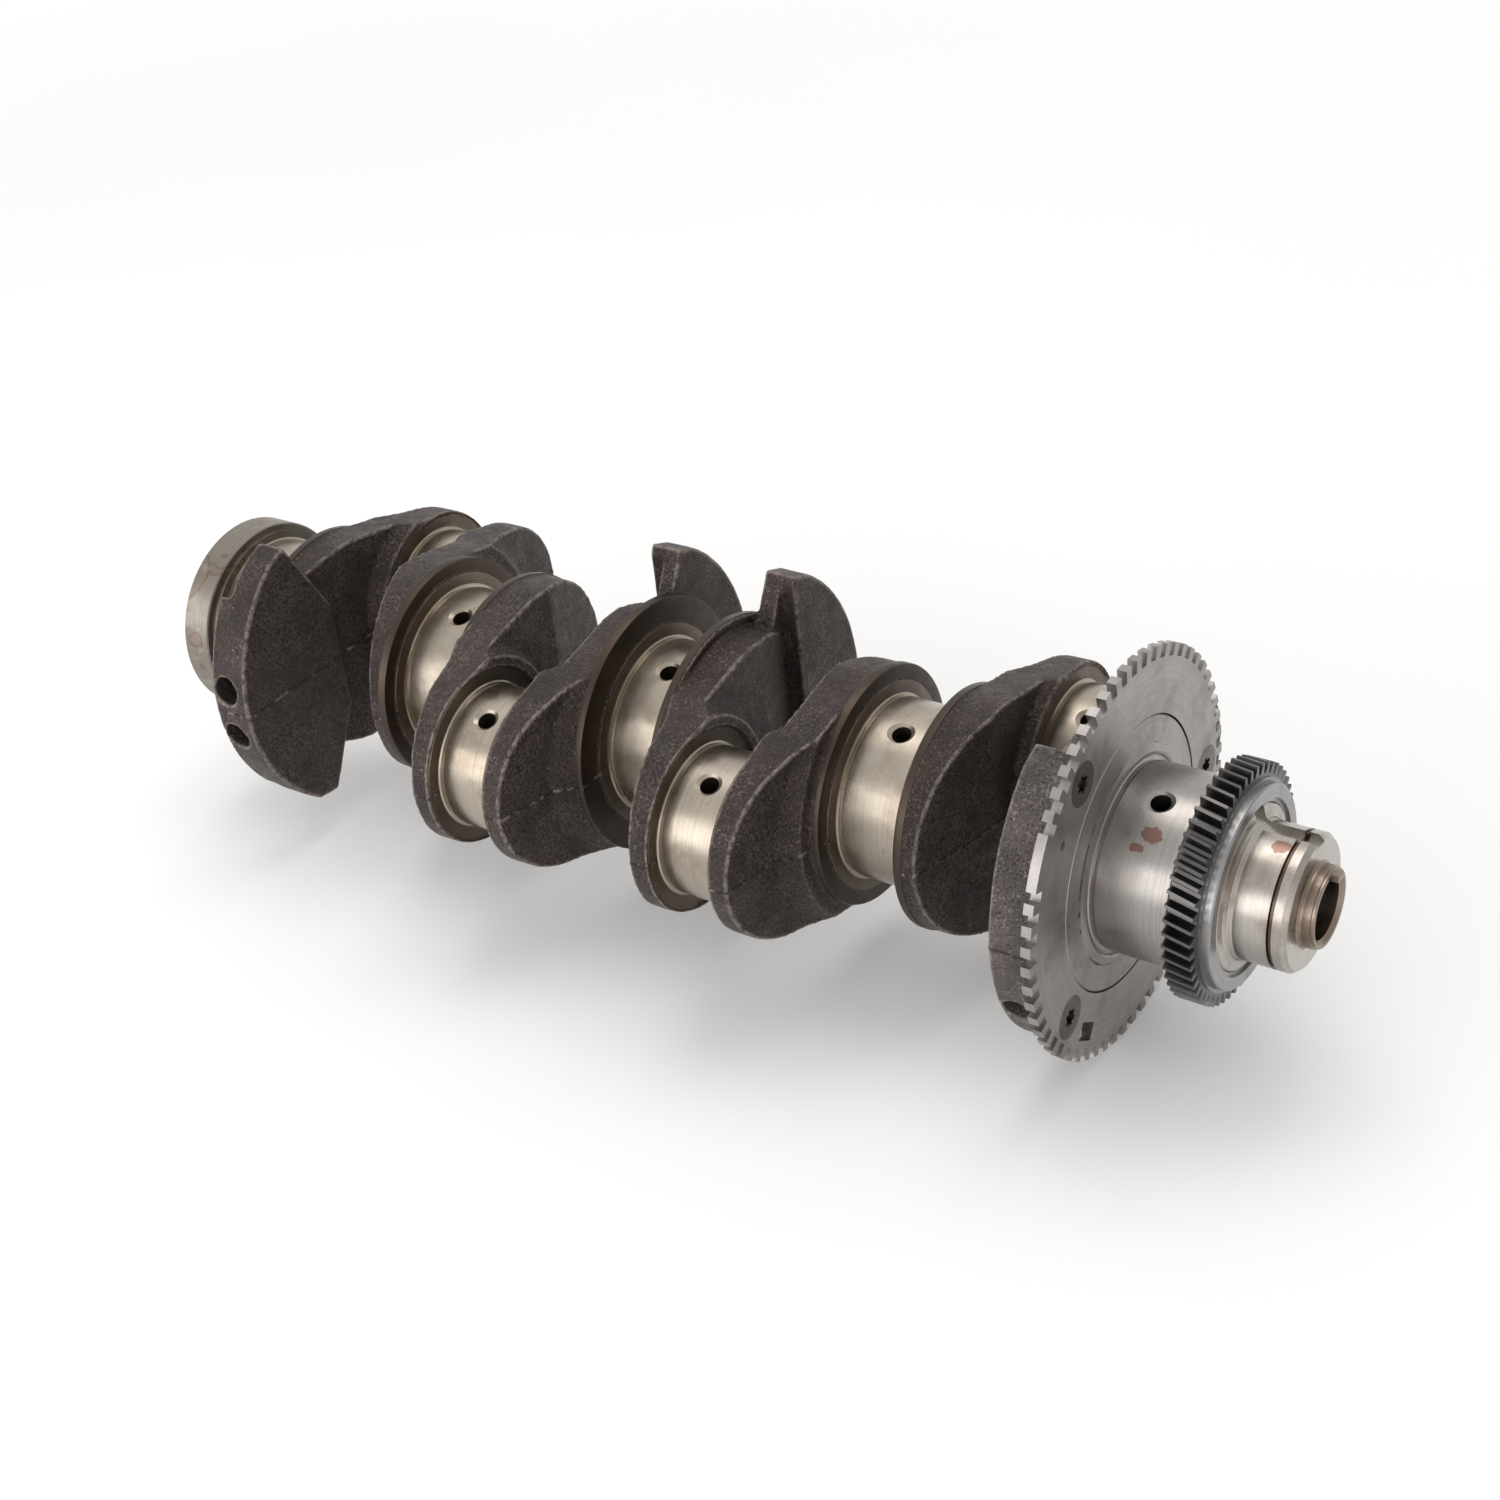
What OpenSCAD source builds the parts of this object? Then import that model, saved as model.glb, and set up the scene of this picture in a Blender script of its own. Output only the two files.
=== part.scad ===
// Crankshaft of a four-cylinder in-line diesel engine, with five main bearings.
// The crank axis is the X axis. X = 0 is the rear face of the flywheel flange, and +X is the nose.
// The throws lie in the XY plane: crankpins 1 and 4 on the +Y side, crankpins 2 and 3 on the -Y side.

/* [Crank train] */
// Piston stroke, twice the crank throw
stroke = 104; // [96:1:110]
// Distance between neighbouring cylinders
bore_pitch = 112; // [110:1:118]
// Main journal diameter
main_d = 75.6; // [72:0.2:77]
// Main journal length between the web faces
main_len = 32; // [30:1:34]
// Crankpin diameter
pin_d = 62; // [58:0.5:64]
// Crankpin length between the web faces
pin_len = 30; // [28:1:31]
// Front main journal length, up to the timing gear
front_main_len = 34; // [32:1:36]

/* [Webs] */
// Counterweight rim radius
weight_r = 76.4; // [72:0.2:78]
// Half of the counterweight's angle, from its middle
weight_half_angle = 62; // [55:1:66]
// Radius of a web round its main journal
web_main_r = 50; // [48:0.5:52]
// Radius of a web round its crankpin
web_pin_r = 39.5; // [38.8:0.1:41]
// Diameter of the balance holes in the end counterweights
balance_d = 13; // [8:1:13]

/* [Flywheel end] */
// Flange diameter, which is also the rear oil seal land
flange_d = 90.6; // [88:0.2:94]
// Flange thickness
flange_len = 15.5; // [14:0.5:18]
// Bolt circle diameter of the flywheel bolts
flywheel_pcd = 68; // [64:1:70]
// Number of flywheel bolts
flywheel_bolts = 8; // [6:1:8]
// Flywheel bolt hole diameter
flywheel_hole_d = 11; // [9:0.5:11]
// Pilot bore diameter
pilot_d = 28; // [22:1:30]

/* [Nose end] */
// Nose diameter, where the pulley sits
nose_d = 54; // [50:0.5:58]
// Stub diameter at the very end
stub_d = 32.2; // [30:0.2:34]
// Bore diameter in the stub and nose
nose_bore_d = 25; // [20:0.5:26]

/* [Reluctor ring] */
// Reluctor ring outside diameter
ring_d = 165; // [160:1:168]
// Reluctor ring thickness
ring_t = 4; // [3:0.2:6]
// Bore of the reluctor ring
ring_bore_d = 110.6; // [108:0.2:112]
// Number of slot pitches round the ring, of which two slots are left out
ring_pitches = 60; // [48:1:60]
// Depth of the slots
slot_depth = 5; // [3:0.5:6]

/* [Timing gear] */
// Timing gear outside diameter
gear_d = 94.6; // [92:0.2:98]
// Number of gear teeth
gear_teeth = 54; // [48:1:60]
// Face width of the teeth
gear_w = 11.5; // [10:0.5:13]
// Helix angle of the teeth
helix_angle = 12; // [0:1:25]

/* [Hidden] */

$fn = 96;
throw = stroke / 2;

// Stations along the crank axis
neck_len = 2.5;
main_1_x = flange_len + neck_len + main_len / 2;
pin_1_x = main_1_x + bore_pitch / 2;
web_t = (bore_pitch - main_len - pin_len) / 2;
front_web_back_x = main_1_x + 3.5 * bore_pitch + pin_len / 2;
front_web_t = 18.2;
front_web_face_x = front_web_back_x + front_web_t;
ring_face_x = front_web_face_x + ring_t;
front_main_x = ring_face_x + 0.3;
gear_back_x = front_main_x + front_main_len;
gear_hub_len = 15.8;
nose_end_x = gear_back_x + 39;
stub_end_x = nose_end_x + 6.1;

// Journals
groove_w = 1.6;
groove_depth = 0.5;
cheek_lip = 1.1;
oil_hole_d = 8;
oil_hole_mouth_d = 13;
oil_gallery_d = 5;
main_oil_angle = 107;
pin_oil_angle = 114;

// Webs: t runs from the main journal's face (t = 0) to the crankpin's face
boss_t = 0.8;
forged_t = 4.5;
slope_t = 9.5;
proud_t = 2;
main_end_t = 10;
pin_end_t = 8;
pin_boss_r0 = 48;
pin_boss_r1 = 43;
shoulder_r0 = 66;
shoulder_r1 = 57;
weight_t0 = 5.5;
weight_t1 = 21;
weight_step_y = 33;
weight_pad_y = 58;
end_weight_t1 = 20;
thrust_r = 44;
recess_r = 38.5;
boss_r = 50.5;
weight_boss_r = 56;
front_boss_r = 54.8;
balance_depth = 22;
balance_t = 7.7;
front_balance_t = 9;
front_weight_gap = 1.3;
hub_gap = 0.2;
ring_pin_depth = 5;

// Reluctor ring fixing
screw_angles = [0, 125, 218];
screw_pcr = 67.5;
screw_head_r = 8.8;
screw_head_h = 3;
socket_r = 3.6;
socket_w = 2.2;
socket_depth = 2.2;
screw_shank_r = 4;
screw_len = 14;
land_angle = 150.3;
window_w = 7.5;
window_len = 11;
window_angle = 235;
window_r = 70.5;
pin_angle = 145;
locating_pin_r = 1.9;

// Gear and nose
gear_seat_r = 33;
collar_r = 40.1;
tooth_depth = 4.2;
key_flat_w = 8;
key_len = 12;
key_angle = 82;
key_depth = 3;

steel = [0.72, 0.69, 0.65];
forged = [0.24, 0.21, 0.20];
grey_steel = [0.45, 0.44, 0.43];

function arc(cx, r, a0, a1, n) =
    [for (i = [0:n]) [cx + r * cos(a0 + (a1 - a0) * i / n), r * sin(a0 + (a1 - a0) * i / n)]];

function main_x(k) = main_1_x + (k - 1) * bore_pitch;
function pin_x(k) = pin_1_x + (k - 1) * bore_pitch;
// Crankpins 1 and 4 stand on the +Y side
function pin_side(k) = (k == 1 || k == 4) ? 1 : -1;

// Stands a shape drawn round Z on the crank axis, starting at x
module on_axis(x, y = 0) translate([x, y, 0]) rotate([0, 90, 0]) children();

// Solid of revolution from [radius, station] points, round the crank axis
module turned(x, points, y = 0) on_axis(x, y) rotate_extrude() polygon(points);

// Journal with a cheek lip and a rolled fillet groove at each end
function journal_outline(r, len) = [
    [0, 0], [r + cheek_lip, 0], [r + cheek_lip, 0.4], [r + 0.5, 0.9],
    [r - groove_depth, 1.2], [r - groove_depth, 1.2 + groove_w - 0.6], [r, 1.2 + groove_w],
    [r, len - 1.2 - groove_w], [r - groove_depth, len - 0.6 - groove_w],
    [r - groove_depth, len - 1.2], [r + 0.5, len - 0.9],
    [r + cheek_lip, len - 0.4], [r + cheek_lip, len], [0, len]
];

// Drilled oil hole with a wide mouth, from the journal's surface to its axis
module oil_hole(x, y, r, angle) {
    translate([x, y, 0]) rotate([angle, 0, 0]) rotate([-90, 0, 0]) {
        cylinder(d = oil_hole_d, h = r + 1);
        translate([0, 0, r - 1.2]) cylinder(d1 = oil_hole_d, d2 = oil_hole_mouth_d + 1, h = 2);
    }
}

// Oil gallery from the axis of a main journal to the axis of the crankpin in front of it
module gallery(k) {
    run = bore_pitch / 2;
    translate([main_x(k), 0, 0])
        rotate([0, 0, pin_side(k) * atan2(throw, run)])
            rotate([0, 90, 0])
                cylinder(d = oil_gallery_d, h = norm([run, throw]));
}

module main_journal(k) {
    x0 = main_x(k) - main_len / 2;
    color(steel)
        difference() {
            turned(x0, journal_outline(main_d / 2, main_len));
            oil_hole(main_x(k), 0, main_d / 2, main_oil_angle);
            gallery(k);
        }
}

// The front main journal is longer and runs up to the timing gear
module front_main_journal() {
    color(steel)
        difference() {
            turned(front_main_x, journal_outline(main_d / 2, front_main_len));
            oil_hole(front_main_x + front_main_len / 2, 0, main_d / 2, main_oil_angle);
        }
}

module crankpin(k) {
    y = pin_side(k) * throw;
    color(steel)
        difference() {
            turned(pin_x(k) - pin_len / 2, journal_outline(pin_d / 2, pin_len), y);
            oil_hole(pin_x(k), y, pin_d / 2, pin_oil_angle);
            gallery(k);
        }
}

// Web outline seen along the crank axis: two circles and their tangents
module web_outline() {
    tangent = acos((web_main_r - web_pin_r) / throw);
    polygon(concat(
        arc(0, web_main_r, tangent, 360 - tangent, 40),
        arc(throw, web_pin_r, -tangent, tangent, 28)
    ));
}

// Extrudes a side view, drawn as [t, y] points, across the web's whole width
module side_view(points) {
    half_w = 60;
    translate([0, 0, -half_w]) linear_extrude(2 * half_w) polygon(points);
}

// Web seen from the side: thinner at both ends, on opposite faces.
// face_t is the depth of the flat on the crankpin's side.
module web_side(t, face_t) {
    main_end_y = -web_main_r - 1;
    pin_end_y = throw + web_pin_r + 1;
    side_view([
        [forged_t, main_end_y], [main_end_t, main_end_y], [face_t, -6], [face_t, pin_end_y],
        [t - pin_end_t, pin_end_y], [slope_t, 50], [forged_t, 36]
    ]);
}

// Boss round the crankpin's end of the web, which stands above the flat
module pin_boss(t) {
    top_t = t + proud_t;
    rim_t = t + 0.8;
    foot_t = t - pin_end_t;
    intersection() {
        on_axis(foot_t, throw) cylinder(r1 = pin_boss_r0, r2 = pin_boss_r1, h = top_t - foot_t);
        side_view([
            [0, 0], [top_t, 0], [top_t, throw - 8], [rim_t, throw + 14], [rim_t, throw + 60], [0, throw + 60]
        ]);
    }
}

// Forged shoulder that rises from the sloped face to the level of the main boss
module shoulder() {
    foot_t = 14;
    intersection() {
        on_axis(forged_t) cylinder(r1 = shoulder_r1, r2 = shoulder_r0, h = foot_t - forged_t);
        side_view([[0, 0], [foot_t, 0], [foot_t, 2 * throw], [0, 2 * throw]]);
    }
}

// Draws an outline in the YZ plane and thickens it from x to x + t
module plate(x, t) translate([x, 0, 0]) rotate([90, 0, 90]) linear_extrude(t) children();

// Counterweight fan with its outer corners cut back
module weight_outline() {
    a = weight_half_angle;
    corner = 8;
    polygon(concat(
        arc(0, weight_r, 180 - a + corner, 180 + a - corner, 44),
        [(weight_r - 5) * [cos(180 + a), sin(180 + a)]],
        [30 * [cos(180 + a), sin(180 + a)]],
        [30 * [cos(180 - a), sin(180 - a)]],
        [(weight_r - 2) * [cos(180 - a), sin(180 - a)]]
    ));
}

// The part of the counterweight further than y from the crank axis
module weight_beyond(y) {
    intersection() {
        weight_outline();
        translate([-y - 100, -100]) square([100, 200]);
    }
}

// Counterweight of webs 4 and 5, with a raised pad beyond the step on the crankpin's side
module middle_weight(face_t) {
    plate(weight_t0, face_t - 6 - weight_t0) weight_outline();
    plate(weight_t0, weight_t1 - weight_t0) weight_beyond(weight_step_y);
}

// Counterweight of web 1, with a pad on the journal's side where it is drilled
module end_weight() {
    plate(weight_t0, end_weight_t1 - weight_t0) weight_outline();
    plate(0, end_weight_t1) weight_beyond(weight_pad_y);
}

// One web in its own frame: t along +X from the main journal's face, the crankpin at +Y.
// The children are its counterweight.
module web_body(t, boss, face_t) {
    difference() {
        union() {
            intersection() {
                plate(0, t + proud_t) web_outline();
                union() {
                    web_side(t, face_t);
                    pin_boss(t);
                    shoulder();
                }
            }
            on_axis(boss_t) cylinder(r = boss, h = forged_t);
            on_axis(0) cylinder(r = thrust_r, h = 1);
            children();
        }
        // Machined recess round the crankpin
        on_axis(t, throw) cylinder(r = recess_r, h = proud_t + 1);
    }
}

// Places a web by the station of its main journal's face.
// main_side is -1 where that journal is behind the web and 1 where it is in front.
module web_at(x, main_side, side) {
    translate([x, 0, 0])
        mirror([main_side > 0 ? 1 : 0, 0, 0])
            mirror([0, side < 0 ? 1 : 0, 0])
                children();
}

// Webs 1 to 7 stand between a main journal and a crankpin, in pairs round each crankpin
module web(i) {
    k = ceil(i / 2);
    main_side = (i % 2 == 1) ? -1 : 1;
    x = main_side < 0 ? main_x(k) + main_len / 2 : main_x(k + 1) - main_len / 2;
    flat_t = (i == 1 || i == 4 || i == 5) ? end_weight_t1 : web_t - 3;
    color(forged)
        difference() {
            web_at(x, main_side, pin_side(k)) {
                if (i == 1) web_body(web_t, boss_r, flat_t) end_weight();
                else if (i == 4 || i == 5) web_body(web_t, weight_boss_r, flat_t) middle_weight(flat_t);
                else web_body(web_t, boss_r, flat_t);
            }
            if (main_side < 0) gallery(k);
            if (i == 1) balance_holes(x + balance_t, [172, 190]);
        }
}

// Balance holes drilled into the counterweight rim towards the axis
module balance_holes(x, angles) {
    for (a = angles)
        translate([x, 0, 0])
            rotate([a, 0, 0])
                translate([0, weight_r - balance_depth, 0])
                    rotate([-90, 0, 0])
                        cylinder(d = balance_d, h = balance_depth + 2);
}

// Web 8, at the front, is a flat-faced counterweight that carries the reluctor ring
module web_8() {
    t = front_web_t;
    color(forged)
        difference() {
            union() {
                plate(front_web_back_x, t) web_outline();
                plate(front_web_back_x + front_weight_gap, t - front_weight_gap) weight_outline();
                on_axis(front_web_face_x) cylinder(r = front_boss_r, h = ring_t - hub_gap);
                on_axis(front_web_face_x) cylinder(r = thrust_r, h = ring_t + 0.3);
            }
            balance_holes(front_web_back_x + front_balance_t, [205]);
            screw_holes(screw_shank_r, screw_len);
            ring_pin_hole();
        }
}

module screw_holes(r, depth) {
    for (a = screw_angles)
        on_axis(ring_face_x - depth)
            translate(screw_pcr * [-sin(a), cos(a), 0])
                cylinder(r = r, h = depth + 1);
}

module ring_pin_hole() {
    on_axis(front_web_face_x - ring_pin_depth)
        translate(screw_pcr * [-sin(pin_angle), cos(pin_angle), 0])
            cylinder(r = locating_pin_r, h = ring_t + ring_pin_depth + 1);
}

// Toothed outline of the ring: square slots, with two neighbouring slots left out
module ring_outline() {
    pitch = 360 / ring_pitches;
    slot_w = PI * ring_d / ring_pitches / 2;
    first = land_angle + pitch * 1.5;
    difference() {
        circle(d = ring_d, $fn = 180);
        for (i = [0:ring_pitches - 3])
            rotate([0, 0, first + i * pitch])
                translate([ring_d / 2 - slot_depth, -slot_w / 2])
                    square([slot_depth + 2, slot_w]);
    }
}

module reluctor_ring() {
    color(grey_steel)
        difference() {
            plate(front_web_face_x, ring_t)
                difference() {
                    ring_outline();
                    rotate([0, 0, window_angle])
                        translate([window_r, 0])
                            square([window_w, window_len], center = true);
                }
            on_axis(front_web_face_x - 1) cylinder(d = ring_bore_d, h = ring_t + 2);
            screw_holes(screw_shank_r, screw_len);
            for (a = screw_angles)
                on_axis(ring_face_x - screw_head_h)
                    translate(screw_pcr * [-sin(a), cos(a), 0])
                        cylinder(r1 = screw_shank_r, r2 = screw_head_r + 0.3, h = screw_head_h + 0.1);
            ring_pin_hole();
        }
}

// Countersunk screws with a six-lobe socket
module reluctor_screws() {
    color(grey_steel)
        for (a = screw_angles)
            on_axis(ring_face_x - screw_len)
                translate(screw_pcr * [-sin(a), cos(a), 0])
                    difference() {
                        union() {
                            cylinder(r = screw_shank_r, h = screw_len - screw_head_h + 0.1);
                            translate([0, 0, screw_len - screw_head_h])
                                cylinder(r1 = screw_shank_r, r2 = screw_head_r, h = screw_head_h);
                        }
                        translate([0, 0, screw_len - socket_depth])
                            for (lobe = [0:60:120])
                                rotate([0, 0, lobe])
                                    translate([-socket_r, -socket_w / 2, 0])
                                        cube([2 * socket_r, socket_w, socket_depth + 1]);
                    }
}

module ring_locating_pin() {
    color(steel)
        on_axis(front_web_face_x - ring_pin_depth)
            translate(screw_pcr * [-sin(pin_angle), cos(pin_angle), 0])
                cylinder(r = locating_pin_r, h = ring_t + ring_pin_depth);
}

// Straight-sided teeth seen along the axis
module gear_outline() {
    pitch = 360 / gear_teeth;
    root = gear_d / 2 - tooth_depth;
    polygon([
        for (i = [0:gear_teeth - 1])
            for (p = [[-0.36, root], [-0.24, root + 1.6], [-0.12, gear_d / 2],
                [0.12, gear_d / 2], [0.24, root + 1.6], [0.36, root]])
                p[1] * [cos((i + p[0]) * pitch), sin((i + p[0]) * pitch)]
    ]);
}

// Helical gear with a stepped hub collar on its front face
module timing_gear() {
    twist = -gear_w * tan(helix_angle) / (gear_d / 2) * 180 / PI;
    color(grey_steel)
        difference() {
            union() {
                translate([gear_back_x, 0, 0])
                    rotate([90, 0, 90])
                        linear_extrude(gear_w, twist = twist, slices = 3) gear_outline();
                turned(gear_back_x, [
                    [gear_seat_r - 1, 0.5], [collar_r + 1.5, 0.5], [collar_r + 1.5, gear_w + 0.8],
                    [collar_r, gear_w + 0.8], [collar_r, gear_hub_len - 0.6],
                    [collar_r - 0.6, gear_hub_len], [gear_seat_r + 1.6, gear_hub_len],
                    [gear_seat_r + 1.6, gear_hub_len - 1.2], [gear_seat_r - 1, gear_hub_len - 1.2]
                ]);
            }
            on_axis(gear_back_x - 1) cylinder(r = gear_seat_r, h = gear_hub_len + 2);
        }
}

// Nose: gear seat, shoulder, pulley seat and end chamfer, bored right through to the seat
module nose() {
    r = nose_d / 2;
    len = nose_end_x - gear_back_x;
    seat_len = gear_hub_len - 0.6;
    groove_x = len - 7.2;
    color(steel)
        difference() {
            turned(gear_back_x, [
                [0, 0], [gear_seat_r, 0], [gear_seat_r, seat_len - 0.8],
                [gear_seat_r - 0.8, seat_len], [r + 2.6, seat_len + 0.6], [r + 0.8, seat_len + 1.6],
                [r, seat_len + 3.4], [r, groove_x], [r - 0.9, groove_x + 0.3], [r - 0.9, groove_x + 1.3],
                [r, groove_x + 1.6], [r, len - 2.1], [r - 1.7, len], [0, len]
            ]);
            on_axis(gear_back_x + 8) cylinder(d = nose_bore_d, h = len);
            key_flat();
        }
}

// Shallow key flat on the nose, open at the end, with a rounded run-out
module key_flat() {
    cutter_r = 22;
    floor_r = nose_d / 2 - key_depth;
    rotate([key_angle - 90, 0, 0]) {
        translate([nose_end_x - key_len, -key_flat_w / 2, floor_r])
            cube([key_len + 2, key_flat_w, 2 * key_depth]);
        translate([nose_end_x - key_len, 0, floor_r + cutter_r])
            rotate([90, 0, 0])
                cylinder(r = cutter_r, h = key_flat_w, center = true);
    }
}

module end_stub() {
    r = stub_d / 2;
    len = stub_end_x - nose_end_x;
    color(steel)
        difference() {
            turned(nose_end_x, [
                [0, 0], [r + 1, 0], [r + 0.2, 0.8], [r, 1.6], [r, len - 1.4], [r - 0.5, len - 1.2],
                [r - 0.5, len - 0.3], [r - 0.8, len], [0, len]
            ]);
            on_axis(nose_end_x - 1) cylinder(d = nose_bore_d, h = len + 2);
            on_axis(stub_end_x - 1.6)
                cylinder(d1 = nose_bore_d, d2 = nose_bore_d + 3.6, h = 1.8);
        }
}

// Driving tang on the end of the stub
module drive_tang() {
    color(steel)
        rotate([key_angle - 90, 0, 0])
            translate([stub_end_x, -2.5, stub_d / 2 - 3.4])
                cube([3, 5, 2.6]);
}

// Flange with its neck, pilot bore, bolt holes and the hole for the locating dowel
module flywheel_flange() {
    r = flange_d / 2;
    color(steel)
        difference() {
            turned(0, [
                [0, 0], [r - 1, 0], [r, 1], [r, flange_len - 0.6], [r - 0.6, flange_len],
                [main_d / 2 + 4.4, flange_len], [main_d / 2 + 4.4, flange_len + neck_len],
                [0, flange_len + neck_len]
            ]);
            on_axis(-1) cylinder(d = pilot_d, h = flange_len + 1);
            for (i = [0:flywheel_bolts - 1])
                on_axis(-1)
                    rotate([0, 0, i * 360 / flywheel_bolts])
                        translate([flywheel_pcd / 2, 0, 0])
                            cylinder(d = flywheel_hole_d, h = flange_len);
            flywheel_dowel_place() cylinder(r = 3, h = 9);
        }
}

module flywheel_dowel_place() {
    a = 180 / flywheel_bolts;
    on_axis(0)
        rotate([0, 0, a])
            translate([flywheel_pcd / 2, 0, 0])
                children();
}

module flywheel_dowel() {
    color(steel)
        flywheel_dowel_place()
            translate([0, 0, -5])
                cylinder(r = 3, h = 14);
}

flywheel_flange();
flywheel_dowel();
main_journal(1);  // main_journal_1
main_journal(2);  // main_journal_2
main_journal(3);  // main_journal_3
main_journal(4);  // main_journal_4
front_main_journal();  // main_journal_5
crankpin(1);  // crankpin_1
crankpin(2);  // crankpin_2
crankpin(3);  // crankpin_3
crankpin(4);  // crankpin_4
web(1);  // web_1
web(2);  // web_2
web(3);  // web_3
web(4);  // web_4
web(5);  // web_5
web(6);  // web_6
web(7);  // web_7
web_8();
reluctor_ring();
reluctor_screws();
ring_locating_pin();
timing_gear();
nose();
end_stub();
drive_tang();
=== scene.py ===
"""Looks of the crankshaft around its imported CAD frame, in metres, in the CAD's own axes.

+X runs from the flywheel flange to the nose, the throws lie in the XY plane, +Y is the side of the
first and last crankpin.
"""

import math

import bmesh
import bpy
from mathutils import Matrix, Vector, noise


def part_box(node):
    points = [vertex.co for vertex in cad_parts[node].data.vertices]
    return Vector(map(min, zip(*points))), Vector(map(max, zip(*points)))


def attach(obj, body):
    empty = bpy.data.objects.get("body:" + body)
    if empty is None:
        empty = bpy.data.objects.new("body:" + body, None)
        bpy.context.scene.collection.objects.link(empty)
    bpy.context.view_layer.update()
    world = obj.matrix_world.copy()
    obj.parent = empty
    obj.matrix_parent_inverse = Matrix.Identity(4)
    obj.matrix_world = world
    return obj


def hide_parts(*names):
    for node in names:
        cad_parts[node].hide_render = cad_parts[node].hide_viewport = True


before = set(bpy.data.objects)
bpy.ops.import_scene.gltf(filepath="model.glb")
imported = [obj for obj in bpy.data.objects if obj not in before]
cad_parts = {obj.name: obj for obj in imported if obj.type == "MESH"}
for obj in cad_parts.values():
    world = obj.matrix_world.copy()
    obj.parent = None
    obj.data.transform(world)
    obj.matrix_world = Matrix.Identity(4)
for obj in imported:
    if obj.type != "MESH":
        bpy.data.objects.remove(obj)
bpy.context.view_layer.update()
MM = 0.001

# ---------------------------------------------------------------- camera
# The camera is stated in a frame turned with the crankshaft as it lies: TURN about its own axis.
TURN = math.radians(9.703)
YAW = math.radians(33.879)
PITCH = math.radians(24.455)
DISTANCE = 0.99877
TARGET = Vector((0.2875, 0, 0))
SENSOR = 36
LENS = 57.135
SHIFT_Y = -0.0016


def lying(v):
    """A direction of the turned frame, in CAD axes."""
    c, s = math.cos(TURN), math.sin(TURN)
    return Vector((v[0], v[1] * c + v[2] * s, -v[1] * s + v[2] * c))


def make_camera():
    level = math.cos(PITCH)
    ahead = Vector((-math.sin(YAW) * level, math.cos(YAW) * level, -math.sin(PITCH)))
    right = ahead.cross(Vector((0, 0, 1))).normalized()
    up = right.cross(ahead)
    axes = [lying(right), lying(up), -lying(ahead)]
    data = bpy.data.cameras.new("camera")
    data.sensor_width = SENSOR
    data.lens = LENS
    data.shift_y = SHIFT_Y
    camera = bpy.data.objects.new("camera", data)
    bpy.context.scene.collection.objects.link(camera)
    turn = Matrix(axes).transposed().to_4x4()
    camera.matrix_world = Matrix.Translation(TARGET - lying(ahead) * DISTANCE) @ turn
    bpy.context.scene.camera = camera


# ---------------------------------------------------------------- materials
def rgb(r, g, b):
    """A colour given as 0-255 screen values, made linear."""
    linear = [((c / 255 + 0.055) / 1.055) ** 2.4 if c > 10 else c / 255 / 12.92 for c in (r, g, b)]
    return (*linear, 1)


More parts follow.
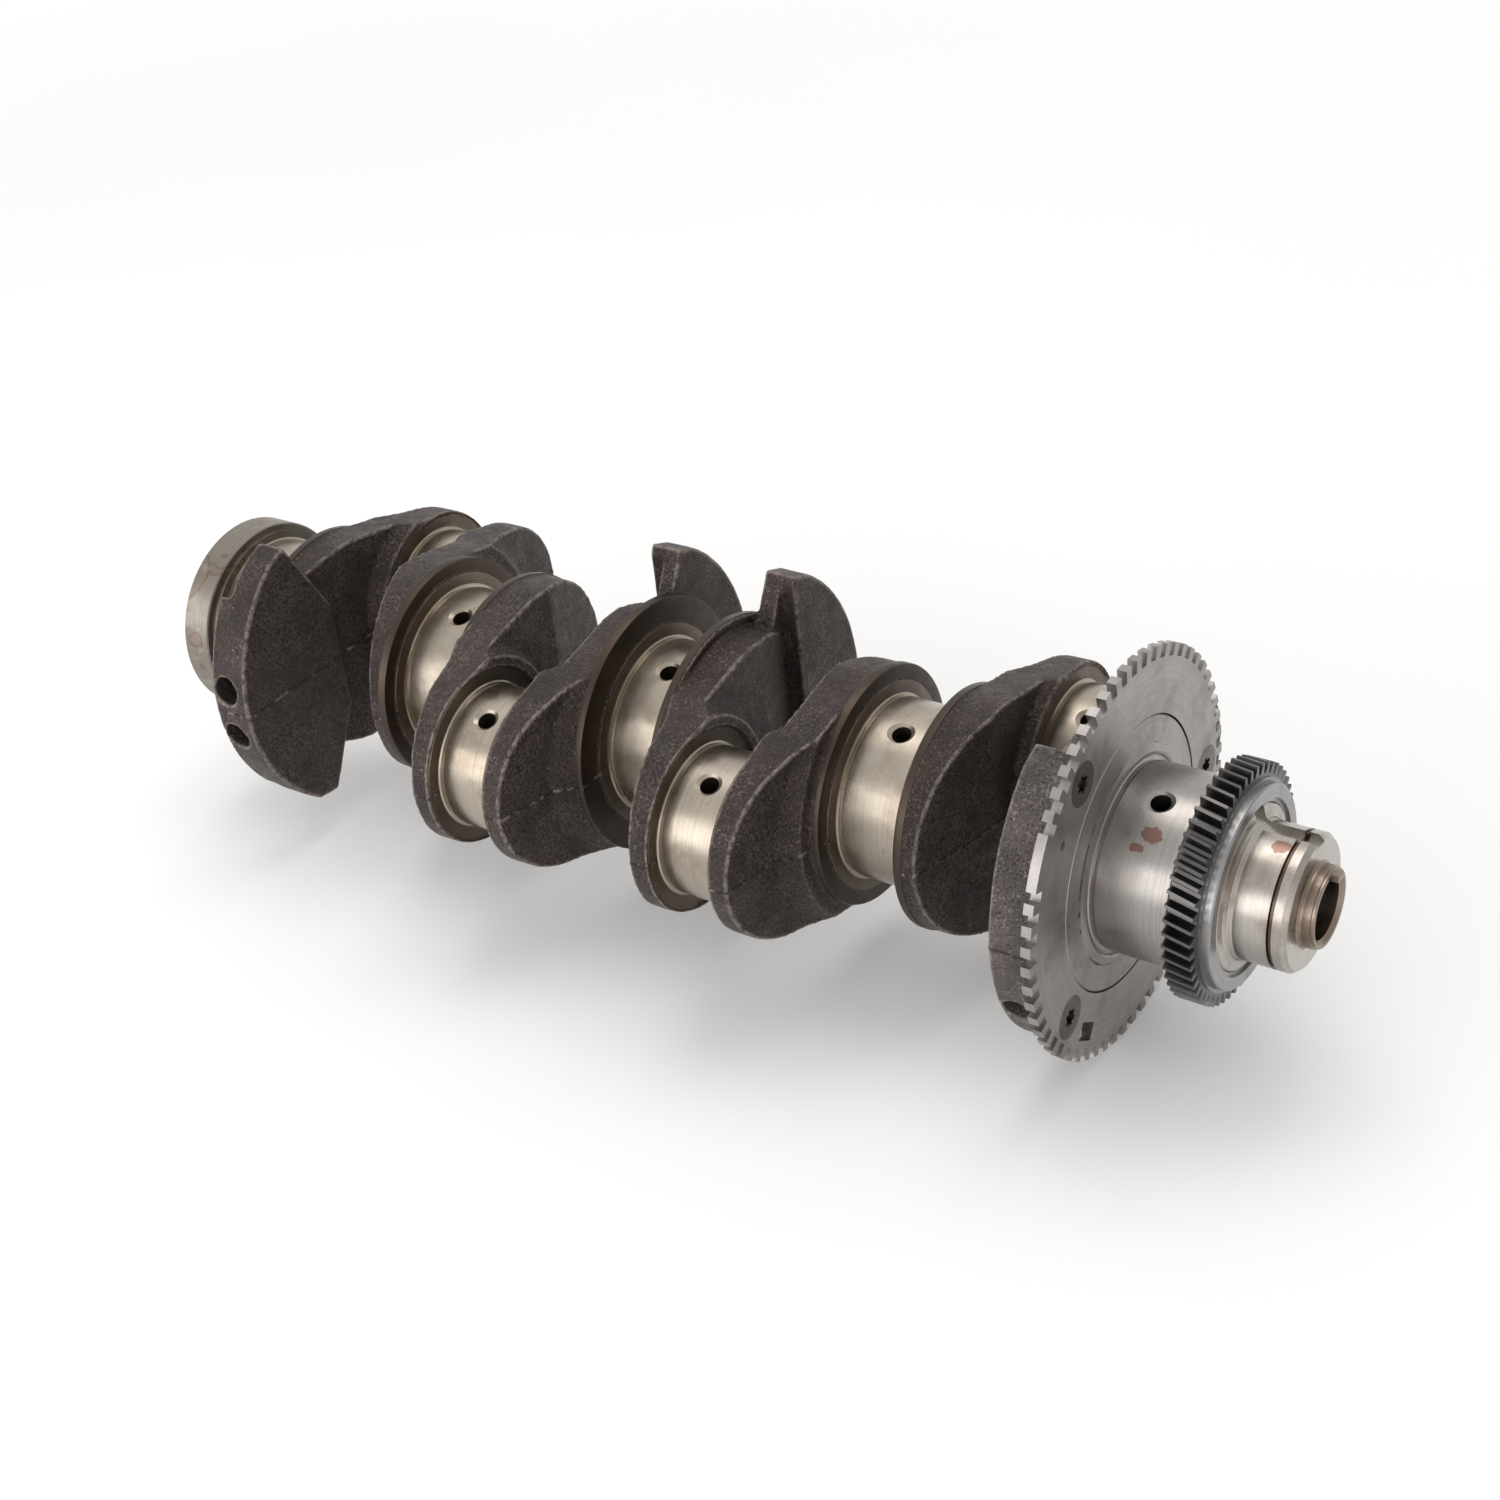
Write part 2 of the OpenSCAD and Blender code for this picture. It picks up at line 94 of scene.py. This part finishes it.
class Nodes:
    """Short calls for building one material's node tree."""

    def __init__(self, name):
        self.mat = bpy.data.materials.new(name)
        self.mat.use_nodes = True
        self.tree = self.mat.node_tree
        self.shader = self.tree.nodes["Principled BSDF"]
        self.where = self.tree.nodes.new("ShaderNodeTexCoord").outputs["Object"]

    def link(self, a, b):
        self.tree.links.new(a, b)

    def scaled(self, scale, offset=(0, 0, 0)):
        n = self.tree.nodes.new("ShaderNodeMapping")
        n.inputs["Scale"].default_value = scale
        n.inputs["Location"].default_value = offset
        self.link(self.where, n.inputs["Vector"])
        return n.outputs["Vector"]

    def noise(self, size, detail=4, rough=0.6, vector=None, offset=(0, 0, 0)):
        """Noise with features of about `size` metres, 0 to 1."""
        n = self.tree.nodes.new("ShaderNodeTexNoise")
        n.inputs["Scale"].default_value = 1
        n.inputs["Detail"].default_value = detail
        n.inputs["Roughness"].default_value = rough
        self.link(vector or self.scaled((1 / size,) * 3, offset), n.inputs["Vector"])
        return n.outputs["Fac"]

    def cells(self, size, offset=(0, 0, 0)):
        n = self.tree.nodes.new("ShaderNodeTexVoronoi")
        n.inputs["Scale"].default_value = 1
        self.link(self.scaled((1 / size,) * 3, offset), n.inputs["Vector"])
        return n.outputs["Distance"]

    def ramp(self, fac, low, high, a=0.0, b=1.0):
        """fac from low..high becomes a..b."""
        n = self.tree.nodes.new("ShaderNodeMapRange")
        n.inputs["From Min"].default_value = low
        n.inputs["From Max"].default_value = high
        n.inputs["To Min"].default_value = a
        n.inputs["To Max"].default_value = b
        n.interpolation_type = "SMOOTHSTEP"
        self.link(fac, n.inputs["Value"])
        return n.outputs["Result"]

    def mix(self, fac, a, b):
        n = self.tree.nodes.new("ShaderNodeMix")
        n.data_type = "RGBA"
        self.put(fac, n.inputs[0])
        self.put(a, n.inputs[6])
        self.put(b, n.inputs[7])
        return n.outputs[2]

    def math(self, what, a, b=0.0, c=0.0):
        n = self.tree.nodes.new("ShaderNodeMath")
        n.operation = what
        for value, socket in zip((a, b, c), n.inputs):
            self.put(value, socket)
        return n.outputs[0]

    def put(self, value, socket):
        if isinstance(value, bpy.types.NodeSocket):
            self.link(value, socket)
        else:
            socket.default_value = value

    def axis(self, which):
        n = self.tree.nodes.new("ShaderNodeSeparateXYZ")
        self.link(self.where, n.inputs[0])
        return n.outputs["XYZ".index(which)]

    def radius(self, y=0.0, z=0.0):
        """Distance from a line along X, in metres."""
        dy = self.math("SUBTRACT", self.axis("Y"), y)
        dz = self.math("SUBTRACT", self.axis("Z"), z)
        squares = self.math("ADD", self.math("MULTIPLY", dy, dy), self.math("MULTIPLY", dz, dz))
        return self.math("SQRT", squares)

    def edges(self, low, high):
        """Worn outward edges, 0 to 1."""
        n = self.tree.nodes.new("ShaderNodeNewGeometry")
        return self.ramp(n.outputs["Pointiness"], low, high)

    def bump(self, height, depth, strength, after=None):
        n = self.tree.nodes.new("ShaderNodeBump")
        n.inputs["Strength"].default_value = strength
        n.inputs["Distance"].default_value = depth
        self.link(height, n.inputs["Height"])
        if after is not None:
            self.link(after, n.inputs["Normal"])
        return n.outputs["Normal"]

    def finish(self, colour, rough, normal=None, metal=1.0, specular=0.5):
        self.put(colour, self.shader.inputs["Base Color"])
        self.put(rough, self.shader.inputs["Roughness"])
        self.shader.inputs["Metallic"].default_value = metal
        self.shader.inputs["Specular IOR Level"].default_value = specular
        if normal is not None:
            self.link(normal, self.shader.inputs["Normal"])
        return self.mat


# Grinding lines round the axis: 0.4 mm apart along X, drawn out to 200 mm across it
HAIRLINES = (1 / 0.0004, 1 / 0.2, 1 / 0.2)
LATHE_PITCH = 0.0005
SATIN = 0.0012
SATIN_OFFSET = (9, 4, 2)


def forged_skin(name, low, high, bright):
    """Hot forged, shot blasted and lightly oiled: dark brown grey, finely pitted."""
    n = Nodes(name)
    cloud = n.ramp(n.noise(0.028, 3), 0.35, 0.68)
    colour = n.mix(cloud, low, high)
    grain = n.ramp(n.noise(0.0012, 3, 0.75), 0.44, 0.62)
    patchy = n.ramp(n.noise(0.017, 3, 0.6, offset=(6, 2, 3)), 0.35, 0.65, 0.35, 1)
    shown = n.math("MULTIPLY", grain, n.math("MULTIPLY", patchy, 0.8))
    colour = n.mix(shown, colour, bright)
    rust = n.ramp(n.noise(0.011, 4, 0.7, offset=(3, 1, 7)), 0.56, 0.75)
    colour = n.mix(n.math("MULTIPLY", rust, 0.5), colour, rgb(74, 54, 48))
    pits = n.ramp(n.cells(0.0014), 0.05, 0.42)
    colour = n.mix(n.math("SUBTRACT", 0.6, n.math("MULTIPLY", pits, 0.6)), colour, rgb(30, 25, 24))
    worn = n.math("MULTIPLY", n.edges(0.508, 0.535), n.ramp(n.noise(0.003, 3), 0.35, 0.6, 0.2, 1))
    colour = n.mix(n.math("MULTIPLY", worn, 0.6), colour, rgb(158, 146, 138))
    # Parting line of the dies: a dark seam on the throw plane, scuffed bright here and there
    wander = n.math("MULTIPLY", n.math("SUBTRACT", n.noise(0.02, 3, offset=(8, 8, 2)), 0.5), 0.003)
    off_plane = n.math("ABSOLUTE", n.math("ADD", n.axis("Z"), wander))
    seam = n.ramp(off_plane, 0.0002, 0.0011, 1, 0)
    scuffed = n.ramp(n.noise(0.006, 3, 0.7, offset=(1, 5, 9)), 0.5, 0.62)
    seam_colour = n.mix(scuffed, rgb(26, 21, 20), rgb(150, 138, 130))
    colour = n.mix(n.math("MULTIPLY", seam, 0.75), colour, seam_colour)
    specks = n.ramp(n.cells(0.0075, offset=(2, 7, 5)), 0.025, 0.045, 0.8, 0)
    colour = n.mix(specks, colour, rgb(186, 178, 170))
    rough = n.ramp(n.noise(0.006, 4, offset=(5, 5, 5)), 0.3, 0.7, 0.4, 0.58)
    coarse = n.bump(n.noise(0.0045, 3, 0.6), 0.0007, 0.6)
    fine = n.bump(n.math("ADD", n.math("MULTIPLY", grain, 0.8), pits), 0.0004, 0.9, coarse)
    return n.finish(colour, rough, n.bump(seam, 0.0005, 0.8, fine), metal=0.6)


def stained(n, colour, stain, size, low, high, amount, offset):
    """Mixes a stain in where a noise of that size is high."""
    cover = n.ramp(n.noise(size, 4, 0.62, offset=offset), low, high)
    return n.mix(n.math("MULTIPLY", cover, amount), colour, stain)


def ground_steel(name, dark, light, stain, rough=(0.26, 0.36), amount=0.5, band=None, drops=()):
    """Ground and lapped steel: hair-fine rings round the axis, faint cloudy oil stains.

    band = (x, half width, colour) is a dirty groove at that station. drops are dried oil spots,
    each (x, y, z, radius), a little longer along X than round the journal."""
    n = Nodes(name)
    lines = n.noise(1, 2, 0.6, vector=n.scaled(HAIRLINES))
    satin = n.noise(SATIN, 3, 0.7, offset=SATIN_OFFSET)
    colour = n.mix(n.ramp(lines, 0.2, 0.8), dark, light)
    colour = n.mix(n.math("MULTIPLY", n.ramp(satin, 0.35, 0.65), 0.22), colour, dark)
    colour = stained(n, colour, stain, 0.024, 0.46, 0.72, amount, (2, 9, 4))
    colour = stained(n, colour, stain, 0.004, 0.62, 0.74, amount * 0.6, (7, 2, 1))
    if band:
        off = n.math("ABSOLUTE", n.math("SUBTRACT", n.axis("X"), band[0]))
        colour = n.mix(n.ramp(off, band[1] * 0.8, band[1], 0.85, 0), colour, band[2])
    for x, y, z, size in drops:
        wobble = n.math("MULTIPLY", n.math("SUBTRACT", n.noise(0.004, 3, 0.6), 0.5), 1.6 * size)
        along = n.math("MULTIPLY", n.math("SUBTRACT", n.axis("X"), x), 0.75)
        squares = n.math("ADD", n.math("POWER", n.radius(y, z), 2), n.math("POWER", along, 2))
        reach = n.math("SQRT", squares)
        inside = n.ramp(n.math("ADD", reach, wobble), size * 0.85, size, 0.75, 0)
        colour = n.mix(inside, colour, rgb(122, 82, 66))
    gloss = n.ramp(n.noise(0.012, 5, 0.65, offset=(1, 8, 3)), 0.3, 0.7, *rough)
    rings = n.bump(lines, 0.00001, 0.3)
    return n.finish(colour, gloss, n.bump(satin, 0.00004, 0.35, rings), metal=1.0)


def turned_face(name, dark, light, stain, rough, y=0.0, rim=None):
    """A face turned on the lathe: fine rings round the axis. rim = (radius, colour) darkens beyond it."""
    n = Nodes(name)
    r = n.radius(y)
    across = n.tree.nodes.new("ShaderNodeCombineXYZ")
    n.link(n.math("MULTIPLY", r, 1 / LATHE_PITCH), across.inputs[0])
    n.link(n.math("MULTIPLY", n.axis("X"), 1 / LATHE_PITCH), across.inputs[1])
    lines = n.noise(1, 2, 0.6, vector=across.outputs[0])
    satin = n.noise(SATIN, 3, 0.7, offset=SATIN_OFFSET)
    colour = n.mix(n.ramp(lines, 0.2, 0.8), dark, light)
    colour = n.mix(n.math("MULTIPLY", n.ramp(satin, 0.35, 0.65), 0.25), colour, dark)
    if rim:
        colour = n.mix(n.ramp(r, rim[0] - 0.0007, rim[0] + 0.0007), colour, rim[1])
    colour = stained(n, colour, stain, 0.018, 0.48, 0.72, 0.45, (4, 3, 8))
    gloss = n.ramp(n.noise(0.01, 4, 0.65, offset=(6, 1, 2)), 0.3, 0.7, *rough)
    return n.finish(colour, gloss, n.bump(lines, 0.00001, 0.35, n.bump(satin, 0.00005, 0.3)), metal=1.0)


def flange_steel():
    """Ground seal land with old oil: brown puddle stains with darker outlines."""
    n = Nodes("flange_steel")
    lines = n.noise(1, 2, 0.6, vector=n.scaled(HAIRLINES))
    colour = n.mix(n.ramp(lines, 0.2, 0.8), rgb(122, 115, 106), rgb(144, 137, 128))
    puddle = n.noise(0.02, 2, 0.5, offset=(3.3, 0.4, 1.9))
    inside = n.ramp(puddle, 0.56, 0.59)
    outline = n.math("MULTIPLY", inside, n.ramp(puddle, 0.59, 0.61, 1, 0))
    colour = n.mix(n.math("MULTIPLY", inside, 0.3), colour, rgb(128, 108, 92))
    colour = n.mix(n.math("MULTIPLY", outline, 0.4), colour, rgb(92, 66, 54))
    colour = stained(n, colour, rgb(186, 180, 172), 0.006, 0.58, 0.7, 0.3, (5, 5, 1))
    gloss = n.ramp(n.noise(0.008, 5, 0.65, offset=(1, 8, 3)), 0.3, 0.7, 0.34, 0.5)
    return n.finish(colour, gloss, n.bump(puddle, 0.0002, 0.3), metal=1.0)


MATERIALS = {
    "forged_skin": forged_skin("forged_skin", rgb(46, 38, 37), rgb(62, 52, 50), rgb(108, 96, 89)),
    # A lighter copy of the forged skin for web 8: its lighter colours are a painted sheen standing in for the
    # light that falls on that web's rim
    "forged_painted_sheen": forged_skin("forged_painted_sheen", rgb(66, 60, 58), rgb(88, 80, 77), rgb(140, 131, 126)),
    "journal": ground_steel("journal_steel", rgb(158, 148, 135), rgb(184, 174, 160), rgb(120, 102, 84)),
    "flange": flange_steel(),
    "ring": turned_face(
        "ring_steel", rgb(150, 145, 142), rgb(166, 161, 158), rgb(104, 98, 94), (0.36, 0.46),
    ),
    "gear": turned_face(
        "gear_steel", rgb(140, 139, 139), rgb(164, 163, 162), rgb(100, 98, 98), (0.26, 0.38),
        rim=(0.0418, rgb(96, 94, 93)),
    ),
    "hub": ground_steel(
        "hub_steel", rgb(150, 145, 142), rgb(178, 173, 169), rgb(128, 116, 108), amount=0.3,
        drops=((0.4786, -0.0279, 0.0255, 0.002), (0.4826, -0.0237, 0.0295, 0.0034)),
    ),
    "nose": ground_steel(
        "nose_steel", rgb(160, 154, 147), rgb(192, 187, 180), rgb(118, 96, 80), (0.22, 0.34),
        band=(0.5301, 0.0011, rgb(58, 42, 34)), drops=((0.526, -0.006, 0.0263, 0.003),),
    ),
    "stub": ground_steel("stub_steel", rgb(130, 117, 104), rgb(156, 142, 128), rgb(90, 70, 56)),
    "screw": turned_face(
        "screw_steel", rgb(92, 89, 87), rgb(114, 111, 108), rgb(52, 48, 46), (0.32, 0.44),
    ),
}


# The faces beside the journals; THROW is the crank radius in mm, PIN_SIDE each crankpin's side in Y
THROW = 52.0
PIN_SIDE = {1: 1, 2: -1, 3: -1, 4: 1}
CHEEK = (rgb(98, 87, 77), rgb(122, 110, 98), rgb(66, 56, 49), (0.38, 0.5))
MATERIALS["cheek_main"] = turned_face("cheek_main_steel", *CHEEK, rim=(0.0446, rgb(74, 65, 58)))
MATERIALS["cheek_1"] = turned_face("cheek_near_steel", *CHEEK, y=THROW * MM)
MATERIALS["cheek_-1"] = turned_face("cheek_far_steel", *CHEEK, y=-THROW * MM)


def paint(obj, material):
    obj.data.materials.clear()
    obj.data.materials.append(MATERIALS[material])


# ---------------------------------------------------------------- the shown CAD nodes
NODE_MATERIAL = {
    "flywheel_flange": "flange",
    "flywheel_dowel": "screw",
    "reluctor_ring": "ring",
    "reluctor_screws": "screw",
    "ring_locating_pin": "screw",
    "timing_gear": "gear",
    "nose": "nose",
    "end_stub": "stub",
    "drive_tang": "stub",
}
for number in range(1, 6):
    NODE_MATERIAL[f"main_journal_{number}"] = "journal" if number < 5 else "hub"
for number in range(1, 5):
    NODE_MATERIAL[f"crankpin_{number}"] = "journal"
for number in range(1, 9):
    NODE_MATERIAL[f"web_{number}"] = "forged_skin"
for node, material in NODE_MATERIAL.items():
    node_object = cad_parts[node]
    for slot in node_object.material_slots:
        slot.material = MATERIALS[material]


# ---------------------------------------------------------------- forged webs
VOXEL = 0.9 * MM
SKIN_WAVE = 0.16 * MM
FLASH = 0.4 * MM
FLASH_WIDTH = 0.9 * MM


def mesh_copy(node, name):
    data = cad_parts[node].data.copy()
    data.name = name
    piece = bpy.data.objects.new(name, data)
    bpy.context.scene.collection.objects.link(piece)
    return piece


def apply_modifier(piece, kind, **settings):
    modifier = piece.modifiers.new(kind.lower(), kind)
    for key, value in settings.items():
        setattr(modifier, key, value)
    graph = bpy.context.evaluated_depsgraph_get()
    done = bpy.data.meshes.new_from_object(piece.evaluated_get(graph))
    piece.modifiers.clear()
    old = piece.data
    piece.data = done
    bpy.data.meshes.remove(old)


def forge(node):
    """The web's blank as it left the dies: rounded edges, a wavy skin and the parting line's ridge."""
    piece = mesh_copy(node, "forged_" + node)
    low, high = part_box(node)
    apply_modifier(piece, "REMESH", mode="VOXEL", voxel_size=VOXEL)
    apply_modifier(piece, "SMOOTH", factor=0.5, iterations=4)
    mesh = piece.data
    seed = Vector((7.3 * int(node[-1]), 1.7, 4.1))
    normals = [v.normal.copy() for v in mesh.vertices]
    for v, outward in zip(mesh.vertices, normals):
        p = v.co
        wave = noise.noise(p * 55 + seed) + 0.5 * noise.noise(p * 140 + seed)
        move = SKIN_WAVE * (wave - 0.6)
        ridge = math.exp(-(p.z / FLASH_WIDTH) ** 2)
        move += FLASH * ridge * (0.7 + 0.5 * noise.noise(p * 90 + seed))
        q = p + outward * move
        v.co = [min(max(q[i], low[i]), high[i]) for i in range(3)]
    for polygon in mesh.polygons:
        polygon.use_smooth = True
    # Web 8 takes the lighter copy, whose colours paint the sheen of the light on its rim
    paint(piece, "forged_painted_sheen" if node == "web_8" else "forged_skin")
    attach(piece, "root")
    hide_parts(node)


for number in range(1, 9):
    forge(f"web_{number}")


# ---------------------------------------------------------------- machined faces on the webs
TURNS = 160
SHARP = math.radians(28)
BOSS_R, WIDE_BOSS_R = 50.5, 56.0
WIDE_BOSS = (4, 5)


def lathe(name, profile, material, y=0.0):
    """A closed ring turned round a line along X at that Y. profile is [(radius, x), ...] in mm."""
    bm = bmesh.new()
    rings = []
    for i in range(TURNS):
        a = 2 * math.pi * i / TURNS
        rings.append([
            bm.verts.new((x * MM, (y + r * math.cos(a)) * MM, r * math.sin(a) * MM)) for r, x in profile
        ])
    count = len(profile)
    for i in range(TURNS):
        here, there = rings[i], rings[(i + 1) % TURNS]
        for j in range(count):
            k = (j + 1) % count
            bm.faces.new((here[j], here[k], there[k], there[j]))
    bmesh.ops.recalc_face_normals(bm, faces=bm.faces)
    for face in bm.faces:
        face.smooth = True
    for edge in bm.edges:
        edge.smooth = edge.calc_face_angle(0) < SHARP
    mesh = bpy.data.meshes.new(name)
    bm.to_mesh(mesh)
    bm.free()
    piece = bpy.data.objects.new(name, mesh)
    bpy.context.scene.collection.objects.link(piece)
    paint(piece, material)
    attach(piece, "root")


def cheeks(number):
    """The ground thrust face round the main journal and the ground recess round the crankpin."""
    throw_number = (number + 1) // 2
    behind = number % 2 == 1
    main = f"main_journal_{throw_number if behind else throw_number + 1}"
    main_low, main_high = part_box(main)
    pin_low, pin_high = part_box(f"crankpin_{throw_number}")
    # t runs from the main journal's end face towards the crankpin's
    start, sign = (main_high.x / MM, 1) if behind else (main_low.x / MM, -1)
    boss = WIDE_BOSS_R if number in WIDE_BOSS else BOSS_R
    if number < 8:
        face = [
            (38.0, 2.5), (38.0, -0.06), (43.3, -0.06), (43.9, 0.2), (44.1, 0.7), (boss - 0.9, 0.72),
            (boss - 0.2, 1.0), (boss + 0.1, 1.7), (boss + 0.1, 4.6), (boss - 3, 5.4),
        ]
        profile = [(r, start + sign * t) for r, t in face]
        lathe(f"thrust_face_{number}", profile, "cheek_main")
    pin_end, inward = (pin_low.x / MM, 1) if behind else (pin_high.x / MM, -1)
    recess = [(31.0, -1.5), (31.0, 0.06), (37.3, 0.06), (38.1, 0.35), (38.46, 1.0), (38.46, -1.5)]
    lathe(
        f"pin_recess_{number}", [(r, pin_end + inward * t) for r, t in recess],
        f"cheek_{PIN_SIDE[throw_number]}", y=THROW * PIN_SIDE[throw_number],
    )


for number in range(1, 9):
    cheeks(number)

hub_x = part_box("web_8")[1].x / MM
lathe("hub_face", [
    (37.0, hub_x - 4), (37.0, hub_x + 0.02), (39.4, hub_x + 0.1), (39.9, hub_x + 0.75), (40.9, hub_x + 1.15),
    (42.0, hub_x + 0.9), (42.9, hub_x + 0.3), (44.2, hub_x - 0.3), (54.2, hub_x - 0.42), (54.85, hub_x - 1.0),
    (54.85, hub_x - 4),
], "ring")

# ---------------------------------------------------------------- floor, light, camera
make_camera()


FLOOR_REACH = 40.0
FLOOR_Z = -0.0827


def make_floor():
    mesh = bpy.data.meshes.new("floor")
    corners = [(x * FLOOR_REACH, y * FLOOR_REACH, FLOOR_Z) for x, y in ((-1, -1), (1, -1), (1, 1), (-1, 1))]
    mesh.from_pydata(corners, [], [(0, 1, 2, 3)])
    floor = bpy.data.objects.new("floor", mesh)
    bpy.context.scene.collection.objects.link(floor)
    n = Nodes("floor_paper")
    paper = n.mix(n.noise(0.4, 2), (0.86, 0.86, 0.86, 1), (0.88, 0.88, 0.88, 1))
    n.finish(paper, 0.9, metal=0.0, specular=0.0)
    # Far from the lamps the paper keeps the white of the room
    n.shader.inputs["Emission Color"].default_value = (1, 1, 1, 1)
    squares = n.math("ADD", n.math("POWER", n.axis("X"), 2), n.math("POWER", n.axis("Y"), 2))
    far = n.math("SQRT", squares)
    n.put(n.ramp(far, 0.7, 3.0, 0.03, 0.4), n.shader.inputs["Emission Strength"])
    mesh.materials.append(n.mat)


def softbox(name, direction, distance, size, power, colour=(1, 1, 1)):
    """A rectangular softbox in a CAD direction from the crankshaft's middle, aimed at it."""
    data = bpy.data.lights.new(name, "AREA")
    data.shape = "RECTANGLE"
    data.size, data.size_y = size
    data.energy = power
    data.color = colour
    lamp = bpy.data.objects.new(name, data)
    towards = Vector(direction).normalized()
    lamp.location = TARGET + towards * distance
    lamp.rotation_mode = "QUATERNION"
    lamp.rotation_quaternion = towards.to_track_quat("Z", "Y")
    bpy.context.scene.collection.objects.link(lamp)


make_floor()
softbox("key", (-0.38, -0.9, 0.22), 1.5, (2.6, 0.8), 13)
softbox("top", (-0.1, 0.25, 1.0), 1.8, (1.4, 0.9), 9, (1.0, 0.97, 0.93))
softbox("nose_side", (1.0, -0.75, 0.25), 1.7, (0.5, 0.9), 3)


def make_world(seen, side, away):
    """Studio room: `seen` behind the object, `side` towards -X and `away` towards +X for its light."""
    world = bpy.data.worlds.new("studio")
    world.use_nodes = True
    tree = world.node_tree
    new, link = tree.nodes.new, tree.links.new
    split = new("ShaderNodeSeparateXYZ")
    link(new("ShaderNodeTexCoord").outputs["Generated"], split.inputs[0])
    level = new("ShaderNodeMapRange")
    level.inputs["From Min"].default_value = -0.6
    level.inputs["From Max"].default_value = 0.6
    level.inputs["To Min"].default_value = side
    level.inputs["To Max"].default_value = away
    link(split.outputs[0], level.inputs["Value"])
    pick = new("ShaderNodeMix")
    link(new("ShaderNodeLightPath").outputs["Is Camera Ray"], pick.inputs[0])
    link(level.outputs["Result"], pick.inputs[2])
    pick.inputs[3].default_value = seen
    link(pick.outputs[0], tree.nodes["Background"].inputs["Strength"])
    tree.nodes["Background"].inputs["Color"].default_value = (1, 1, 1, 1)
    bpy.context.scene.world = world


make_world(seen=1.0, side=1.0, away=0.72)
bpy.context.scene.view_settings.view_transform = "Standard"
